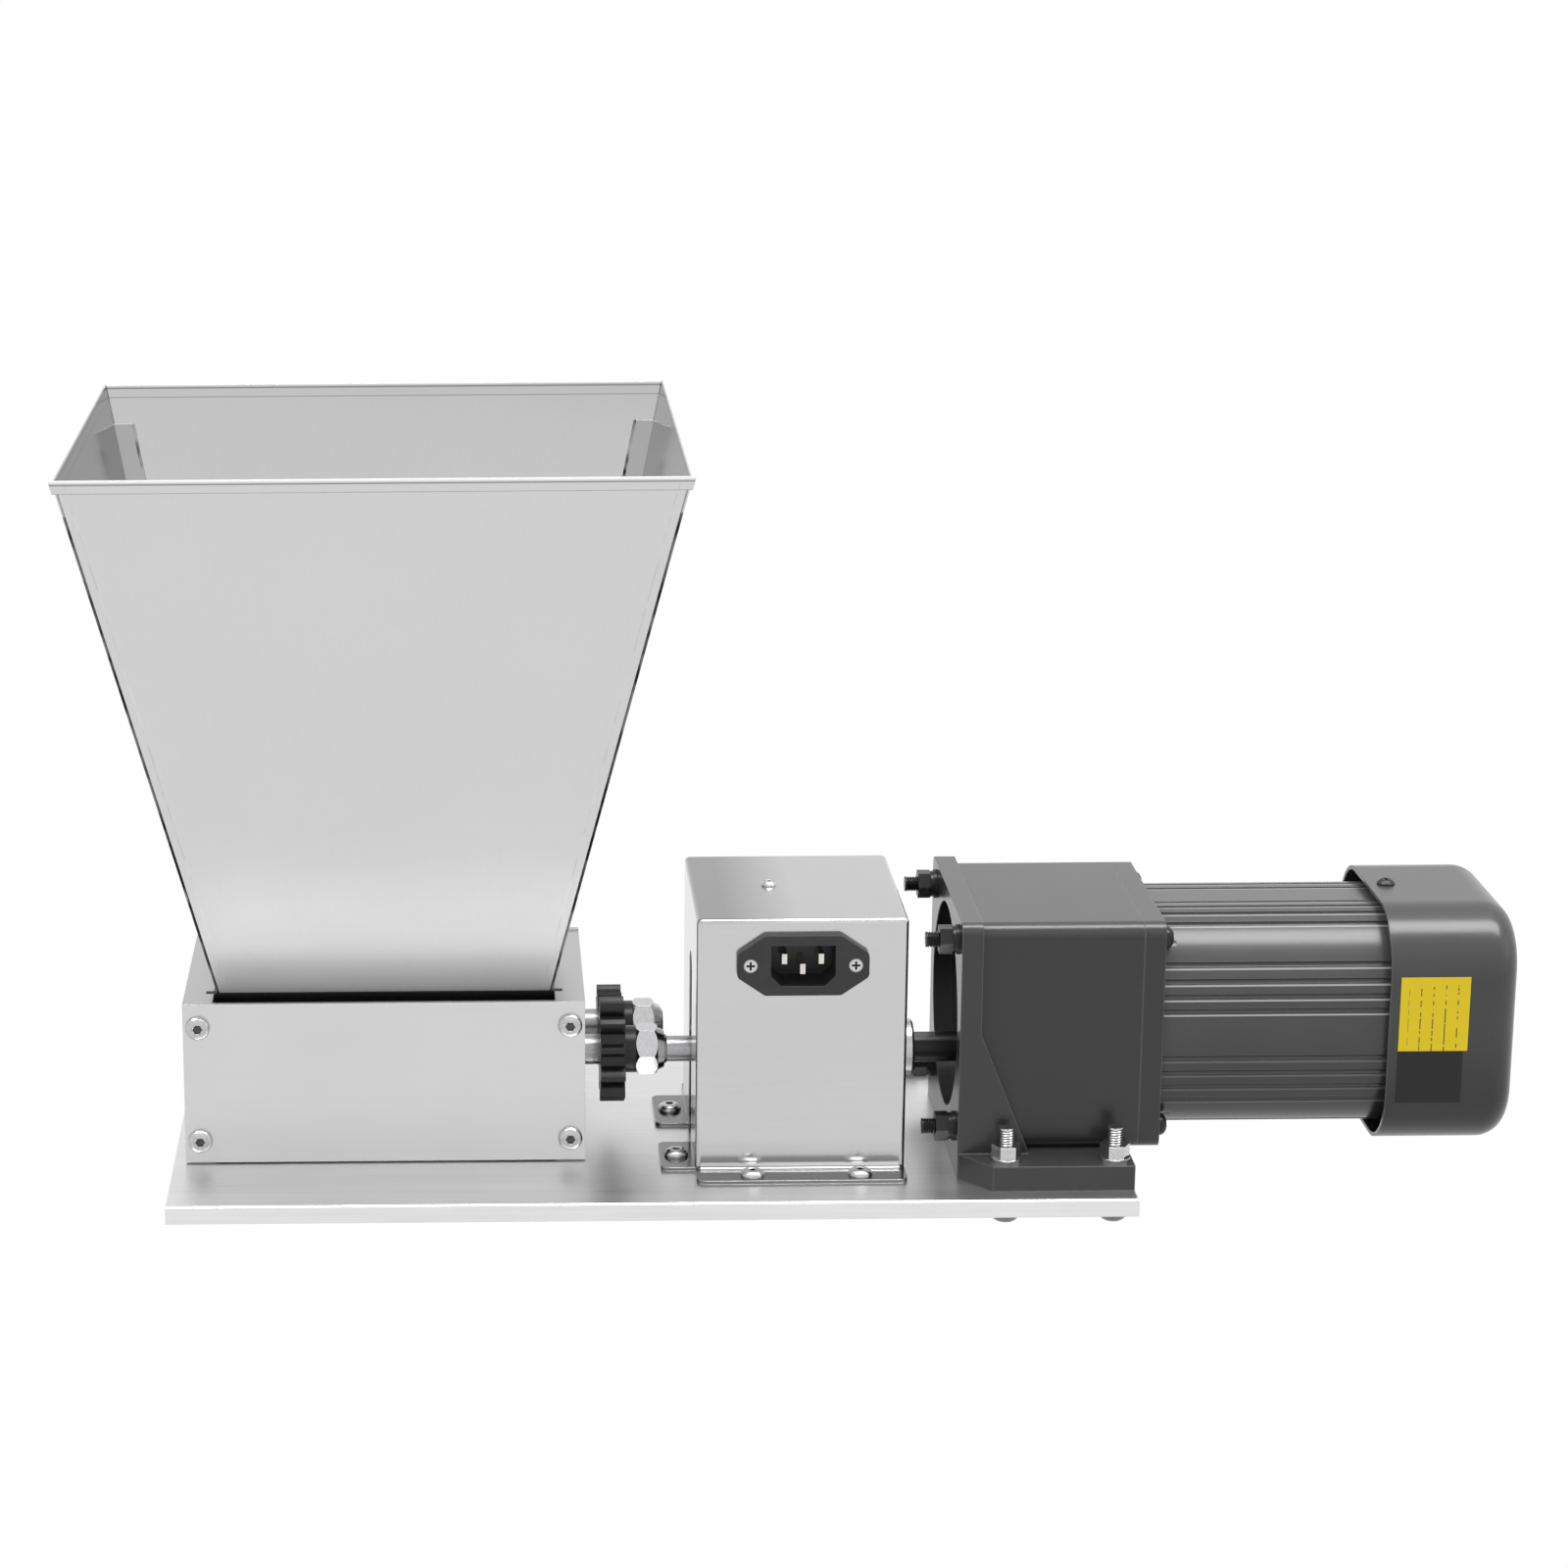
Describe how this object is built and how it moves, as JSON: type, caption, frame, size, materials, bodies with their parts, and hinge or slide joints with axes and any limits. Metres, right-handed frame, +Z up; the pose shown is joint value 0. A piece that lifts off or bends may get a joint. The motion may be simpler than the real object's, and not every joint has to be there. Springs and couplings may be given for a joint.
{
  "type": "grain mill",
  "caption": "Motor-driven two-roller grain mill: hopper, knurled rollers and gears in a steel body, covered coupling, geared motor on a bracket, all on an aluminium base plate.",
  "frame": {"origin": "middle of the overall length and depth, on the plane of the lowest screw heads that the mill stands on", "axes": "+X along the shafts from the hopper to the motor, +Y to the back, +Z up"},
  "size_m": [0.5474, 0.217, 0.296],
  "materials": {
    "base_aluminium": "brushed along its length",
    "mill_steel": "satin stainless sheet and blocks",
    "hopper_steel": "satin stainless sheet, faint vertical and cloudy finish",
    "cover_steel": "bright polished stainless sheet with brighter bends",
    "roller_steel": "machined steel, knurled on the rollers",
    "bright_zinc": "bright zinc plate",
    "stainless_screw": "stainless screw heads",
    "black_steel": "black oxide",
    "dark_cast": "dark grey fine-textured paint",
    "fan_cover_paint": "dark grey satin paint",
    "black_plastic": "fine spark-eroded",
    "pin_metal": "nickel plate",
    "bush_bronze": "sintered bronze",
    "bearing_steel": "ground",
    "gear_steel": "machined and oiled",
    "lamination": "stacked sheet",
    "copper": "varnished copper wire",
    "label_yellow": "printed film",
    "lead_black": "smooth",
    "coupling_aluminium": "turned"
  },
  "bodies": {
    "base": {"base_plate": "base_aluminium", "mill_left_block": "mill_steel", "mill_right_block": "mill_steel", "mill_front_panel": "mill_steel", "mill_back_panel": "mill_steel", "mill_panel_screws": "stainless_screw", "mill_mount_screws": "bright_zinc", "front_grain_guide": "mill_steel", "back_grain_guide": "mill_steel", "roller_bushes": "bush_bronze", "cover_box": "cover_steel", "cover_screws": "stainless_screw", "cover_inner_nuts": "bright_zinc", "pan_head_screws": "stainless_screw", "mains_inlet_body": "black_plastic", "mains_inlet_pins": "pin_metal", "mains_inlet_screws": "bright_zinc", "motor_capacitor": "black_plastic", "motor_bracket": "dark_cast", "bracket_bolts": "bright_zinc", "bracket_nuts": "bright_zinc", "bracket_washers": "bright_zinc", "gearbox_case": "dark_cast", "gearbox_inner_plate": "gear_steel", "gearbox_bearings": "bearing_steel", "gearbox_bolts": "black_steel", "gearbox_nuts": "black_steel", "gearbox_washers": "black_steel", "motor_flange": "dark_cast", "motor_housing": "dark_cast", "stator_core": "lamination", "stator_windings": "copper", "motor_bearings": "bearing_steel", "motor_rear_shield": "dark_cast", "fan_cover": "fan_cover_paint", "motor_labels": "label_yellow", "motor_lead": "lead_black", "lead_grommets": "lead_black", "lead_clip": "bright_zinc"},
    "hopper": {"hopper_front_panel": "hopper_steel", "hopper_back_panel": "hopper_steel", "hopper_left_panel": "hopper_steel", "hopper_right_panel": "hopper_steel"},
    "drive_line": {"drive_roller": "roller_steel", "drive_gear": "black_steel", "drive_spacer": "black_steel", "drive_lock_nut": "bright_zinc", "shaft_coupling": "coupling_aluminium", "coupling_set_screws": "black_steel", "output_shaft": "black_steel", "output_wheel": "gear_steel"},
    "driven_roller": {"driven_roller": "roller_steel", "driven_gear": "black_steel", "driven_spacer": "black_steel", "driven_lock_nut": "bright_zinc"},
    "layshaft": {"layshaft": "gear_steel", "layshaft_wheel": "gear_steel"},
    "rotor": {"rotor_shaft": "gear_steel", "rotor_core": "lamination", "cooling_fan": "black_plastic"}
  },
  "joints": [
    {"name": "drive_spin", "type": "hinge", "parent": "base", "child": "drive_line", "pos_m": [-0.14133, -0.01575, 0.0514], "axis": [1, 0, 0], "continuous": true},
    {"name": "driven_spin", "type": "hinge", "parent": "base", "child": "driven_roller", "pos_m": [-0.14133, 0.01575, 0.0514], "axis": [1, 0, 0], "continuous": true},
    {"name": "layshaft_spin", "type": "hinge", "parent": "base", "child": "layshaft", "pos_m": [0.10328, 0.00143, 0.06083], "axis": [1, 0, 0], "continuous": true},
    {"name": "rotor_spin", "type": "hinge", "parent": "base", "child": "rotor", "pos_m": [0.15868, -0.01575, 0.0694], "axis": [1, 0, 0], "continuous": true},
    {"name": "hopper_lift", "type": "slide", "parent": "base", "child": "hopper", "axis": [0, 0, 1], "range_m": [0, 0.15]}
  ],
  "couplings": [
    {"joint": "driven_spin", "follows": "drive_spin", "ratio": -1.375},
    {"joint": "layshaft_spin", "follows": "drive_spin", "ratio": -2.5},
    {"joint": "rotor_spin", "follows": "drive_spin", "ratio": 7.5}
  ]
}
